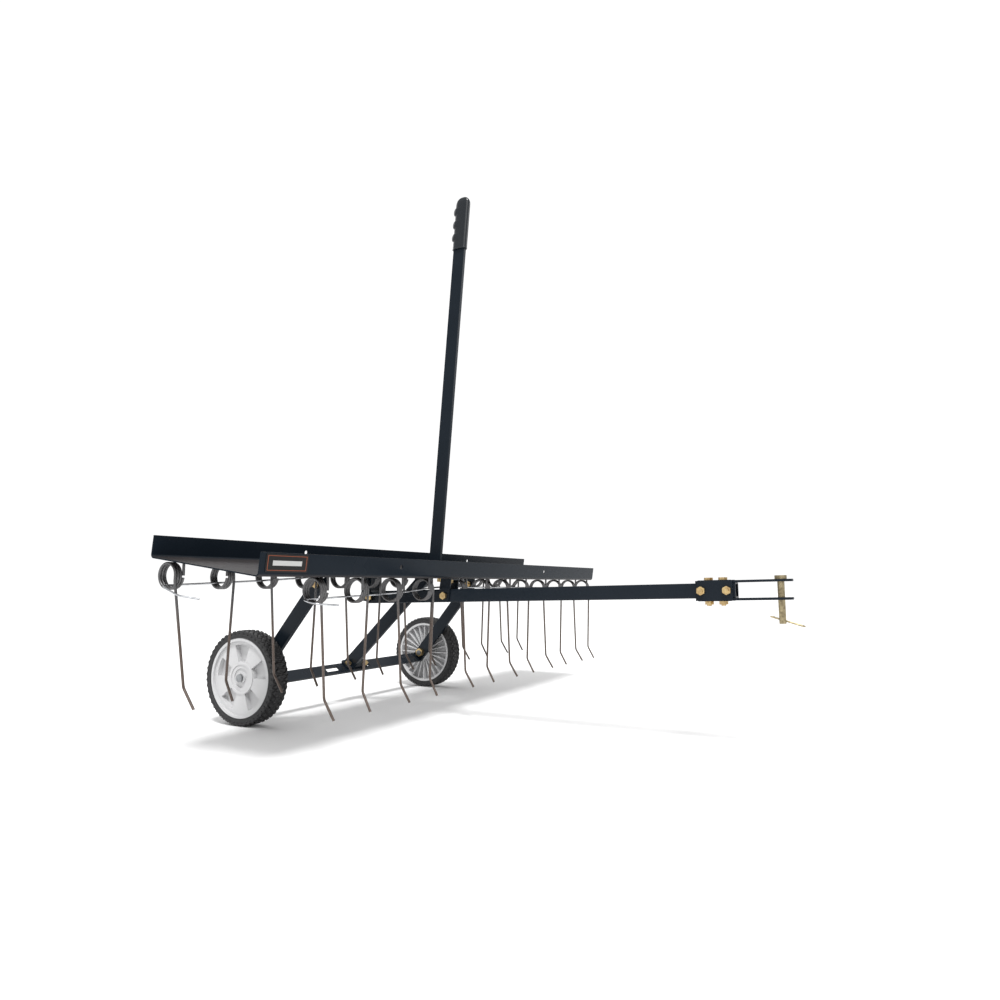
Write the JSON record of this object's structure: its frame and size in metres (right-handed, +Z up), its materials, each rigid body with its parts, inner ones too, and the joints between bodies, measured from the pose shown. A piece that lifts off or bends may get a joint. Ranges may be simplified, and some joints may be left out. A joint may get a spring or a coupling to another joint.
{
  "type": "lawn dethatcher",
  "caption": "Tow-behind lawn dethatcher: open tray with two staggered rows of sprung wire tines, side-offset drawbar with pin hitch, and a lever-lifted wheel frame.",
  "frame": {"origin": "bottom centre of the bounding box, on the ground", "axes": "+X across the working width to the machine's left end opposite the drawbar, -Y towards the hitch (front), +Z up"},
  "size_m": [1.2199, 1.0822, 1.137],
  "materials": {
    "frame_paint": "gloss powder coat",
    "tine_steel": "oiled spring steel",
    "bright_zinc": "bright zinc",
    "yellow_zinc": "yellow zinc",
    "badge_aluminium": "satin",
    "wheel_plastic": "satin",
    "tyre_rubber": "matte",
    "grip_vinyl": "soft satin"
  },
  "bodies": {
    "chassis": {"tray": "frame_paint", "badge_plate": "badge_aluminium", "tine_anchors": "tine_steel", "tine_rod_front": "bright_zinc", "tine_rod_rear": "bright_zinc", "drawbar_tube": "frame_paint", "drawbar_bracket_front": "frame_paint", "drawbar_bracket_rear": "frame_paint", "drawbar_bolts": "yellow_zinc", "drawbar_nuts": "yellow_zinc", "hitch_strap_upper": "frame_paint", "hitch_strap_lower": "frame_paint", "hitch_side_plates": "frame_paint", "hitch_bolts": "yellow_zinc", "hitch_nuts": "yellow_zinc", "pivot_bracket_left": "frame_paint", "pivot_bracket_right": "frame_paint", "pivot_bolts": "yellow_zinc", "pivot_nuts": "yellow_zinc", "lever_guide": "frame_paint", "guide_bolts": "yellow_zinc"},
    "lift_frame": {"wheel_arm_left": "frame_paint", "wheel_arm_right": "frame_paint", "wheel_cross_bar": "frame_paint", "lever_bar": "frame_paint", "lever_bolts": "yellow_zinc", "lever_nuts": "yellow_zinc", "handle_grip": "grip_vinyl", "axle_bolts": "bright_zinc", "axle_nuts": "yellow_zinc"},
    "wheel_left": {"wheel_rim_left": "wheel_plastic", "tyre_left": "tyre_rubber"},
    "wheel_right": {"wheel_rim_right": "wheel_plastic", "tyre_right": "tyre_rubber"},
    "hitch_pin": {"hitch_pin": "bright_zinc"},
    "hair_pin": {"hair_pin": "bright_zinc"},
    "tine_front_01": {"tine_front_01": "tine_steel"},
    "tine_front_02": {"tine_front_02": "tine_steel"},
    "tine_front_03": {"tine_front_03": "tine_steel"},
    "tine_front_04": {"tine_front_04": "tine_steel"},
    "tine_front_05": {"tine_front_05": "tine_steel"},
    "tine_front_06": {"tine_front_06": "tine_steel"},
    "tine_front_07": {"tine_front_07": "tine_steel"},
    "tine_front_08": {"tine_front_08": "tine_steel"},
    "tine_front_09": {"tine_front_09": "tine_steel"},
    "tine_front_10": {"tine_front_10": "tine_steel"},
    "tine_front_11": {"tine_front_11": "tine_steel"},
    "tine_front_12": {"tine_front_12": "tine_steel"},
    "tine_rear_01": {"tine_rear_01": "tine_steel"},
    "tine_rear_02": {"tine_rear_02": "tine_steel"},
    "tine_rear_03": {"tine_rear_03": "tine_steel"},
    "tine_rear_04": {"tine_rear_04": "tine_steel"},
    "tine_rear_05": {"tine_rear_05": "tine_steel"},
    "tine_rear_06": {"tine_rear_06": "tine_steel"},
    "tine_rear_07": {"tine_rear_07": "tine_steel"},
    "tine_rear_08": {"tine_rear_08": "tine_steel"},
    "tine_rear_09": {"tine_rear_09": "tine_steel"},
    "tine_rear_10": {"tine_rear_10": "tine_steel"},
    "tine_rear_11": {"tine_rear_11": "tine_steel"},
    "tine_rear_12": {"tine_rear_12": "tine_steel"}
  },
  "joints": [
    {"name": "lift", "type": "hinge", "parent": "chassis", "child": "lift_frame", "pos_m": [0, 0.3035, 0.268], "axis": [1, 0, 0], "range_deg": [0, 30]},
    {"name": "wheel_left_spin", "type": "hinge", "parent": "lift_frame", "child": "wheel_left", "pos_m": [-0.3035, 0.4505, 0.09], "axis": [1, 0, 0], "continuous": true},
    {"name": "wheel_right_spin", "type": "hinge", "parent": "lift_frame", "child": "wheel_right", "pos_m": [0.3035, 0.4505, 0.09], "axis": [1, 0, 0], "continuous": true},
    {"name": "hitch_pin_lift", "type": "slide", "parent": "chassis", "child": "hitch_pin", "axis": [0, 0.0277, 0.9996], "range_m": [0, 0.018]},
    {"name": "hair_pin_pull", "type": "slide", "parent": "hitch_pin", "child": "hair_pin", "axis": [0, -0.9613, -0.2756], "range_m": [0, 0.03]},
    {"name": "tine_front_01_flex", "type": "hinge", "parent": "chassis", "child": "tine_front_01", "pos_m": [-0.471, 0.1305, 0.259], "axis": [1, 0, 0], "range_deg": [0, 22], "stiffness_Nm_per_rad": 5},
    {"name": "tine_front_02_flex", "type": "hinge", "parent": "chassis", "child": "tine_front_02", "pos_m": [-0.375, 0.1305, 0.259], "axis": [1, 0, 0], "range_deg": [0, 22], "stiffness_Nm_per_rad": 5},
    {"name": "tine_front_03_flex", "type": "hinge", "parent": "chassis", "child": "tine_front_03", "pos_m": [-0.279, 0.1305, 0.259], "axis": [1, 0, 0], "range_deg": [0, 22], "stiffness_Nm_per_rad": 5},
    {"name": "tine_front_04_flex", "type": "hinge", "parent": "chassis", "child": "tine_front_04", "pos_m": [-0.183, 0.1305, 0.259], "axis": [1, 0, 0], "range_deg": [0, 22], "stiffness_Nm_per_rad": 5},
    {"name": "tine_front_05_flex", "type": "hinge", "parent": "chassis", "child": "tine_front_05", "pos_m": [-0.064, 0.1305, 0.259], "axis": [1, 0, 0], "range_deg": [0, 22], "stiffness_Nm_per_rad": 5},
    {"name": "tine_front_06_flex", "type": "hinge", "parent": "chassis", "child": "tine_front_06", "pos_m": [0.03, 0.1305, 0.259], "axis": [1, 0, 0], "range_deg": [0, 22], "stiffness_Nm_per_rad": 5},
    {"name": "tine_front_07_flex", "type": "hinge", "parent": "chassis", "child": "tine_front_07", "pos_m": [0.124, 0.1305, 0.259], "axis": [1, 0, 0], "range_deg": [0, 22], "stiffness_Nm_per_rad": 5},
    {"name": "tine_front_08_flex", "type": "hinge", "parent": "chassis", "child": "tine_front_08", "pos_m": [0.218, 0.1305, 0.259], "axis": [1, 0, 0], "range_deg": [0, 22], "stiffness_Nm_per_rad": 5},
    {"name": "tine_front_09_flex", "type": "hinge", "parent": "chassis", "child": "tine_front_09", "pos_m": [0.312, 0.1305, 0.259], "axis": [1, 0, 0], "range_deg": [0, 22], "stiffness_Nm_per_rad": 5},
    {"name": "tine_front_10_flex", "type": "hinge", "parent": "chassis", "child": "tine_front_10", "pos_m": [0.406, 0.1305, 0.259], "axis": [1, 0, 0], "range_deg": [0, 22], "stiffness_Nm_per_rad": 5},
    {"name": "tine_front_11_flex", "type": "hinge", "parent": "chassis", "child": "tine_front_11", "pos_m": [0.5, 0.1305, 0.259], "axis": [1, 0, 0], "range_deg": [0, 22], "stiffness_Nm_per_rad": 5},
    {"name": "tine_front_12_flex", "type": "hinge", "parent": "chassis", "child": "tine_front_12", "pos_m": [0.594, 0.1305, 0.259], "axis": [1, 0, 0], "range_deg": [0, 22], "stiffness_Nm_per_rad": 5},
    {"name": "tine_rear_01_flex", "type": "hinge", "parent": "chassis", "child": "tine_rear_01", "pos_m": [-0.594, 0.3005, 0.281], "axis": [1, 0, 0], "range_deg": [0, 22], "stiffness_Nm_per_rad": 5},
    {"name": "tine_rear_02_flex", "type": "hinge", "parent": "chassis", "child": "tine_rear_02", "pos_m": [-0.5, 0.3005, 0.281], "axis": [1, 0, 0], "range_deg": [0, 22], "stiffness_Nm_per_rad": 5},
    {"name": "tine_rear_03_flex", "type": "hinge", "parent": "chassis", "child": "tine_rear_03", "pos_m": [-0.406, 0.3005, 0.281], "axis": [1, 0, 0], "range_deg": [0, 22], "stiffness_Nm_per_rad": 5},
    {"name": "tine_rear_04_flex", "type": "hinge", "parent": "chassis", "child": "tine_rear_04", "pos_m": [-0.312, 0.3005, 0.281], "axis": [1, 0, 0], "range_deg": [0, 22], "stiffness_Nm_per_rad": 5},
    {"name": "tine_rear_05_flex", "type": "hinge", "parent": "chassis", "child": "tine_rear_05", "pos_m": [-0.218, 0.3005, 0.281], "axis": [1, 0, 0], "range_deg": [0, 22], "stiffness_Nm_per_rad": 5},
    {"name": "tine_rear_06_flex", "type": "hinge", "parent": "chassis", "child": "tine_rear_06", "pos_m": [-0.124, 0.3005, 0.281], "axis": [1, 0, 0], "range_deg": [0, 22], "stiffness_Nm_per_rad": 5},
    {"name": "tine_rear_07_flex", "type": "hinge", "parent": "chassis", "child": "tine_rear_07", "pos_m": [-0.03, 0.3005, 0.281], "axis": [1, 0, 0], "range_deg": [0, 22], "stiffness_Nm_per_rad": 5},
    {"name": "tine_rear_08_flex", "type": "hinge", "parent": "chassis", "child": "tine_rear_08", "pos_m": [0.064, 0.3005, 0.281], "axis": [1, 0, 0], "range_deg": [0, 22], "stiffness_Nm_per_rad": 5},
    {"name": "tine_rear_09_flex", "type": "hinge", "parent": "chassis", "child": "tine_rear_09", "pos_m": [0.2, 0.3005, 0.281], "axis": [1, 0, 0], "range_deg": [0, 22], "stiffness_Nm_per_rad": 5},
    {"name": "tine_rear_10_flex", "type": "hinge", "parent": "chassis", "child": "tine_rear_10", "pos_m": [0.297, 0.3005, 0.281], "axis": [1, 0, 0], "range_deg": [0, 22], "stiffness_Nm_per_rad": 5},
    {"name": "tine_rear_11_flex", "type": "hinge", "parent": "chassis", "child": "tine_rear_11", "pos_m": [0.394, 0.3005, 0.281], "axis": [1, 0, 0], "range_deg": [0, 22], "stiffness_Nm_per_rad": 5},
    {"name": "tine_rear_12_flex", "type": "hinge", "parent": "chassis", "child": "tine_rear_12", "pos_m": [0.491, 0.3005, 0.281], "axis": [1, 0, 0], "range_deg": [0, 22], "stiffness_Nm_per_rad": 5}
  ]
}
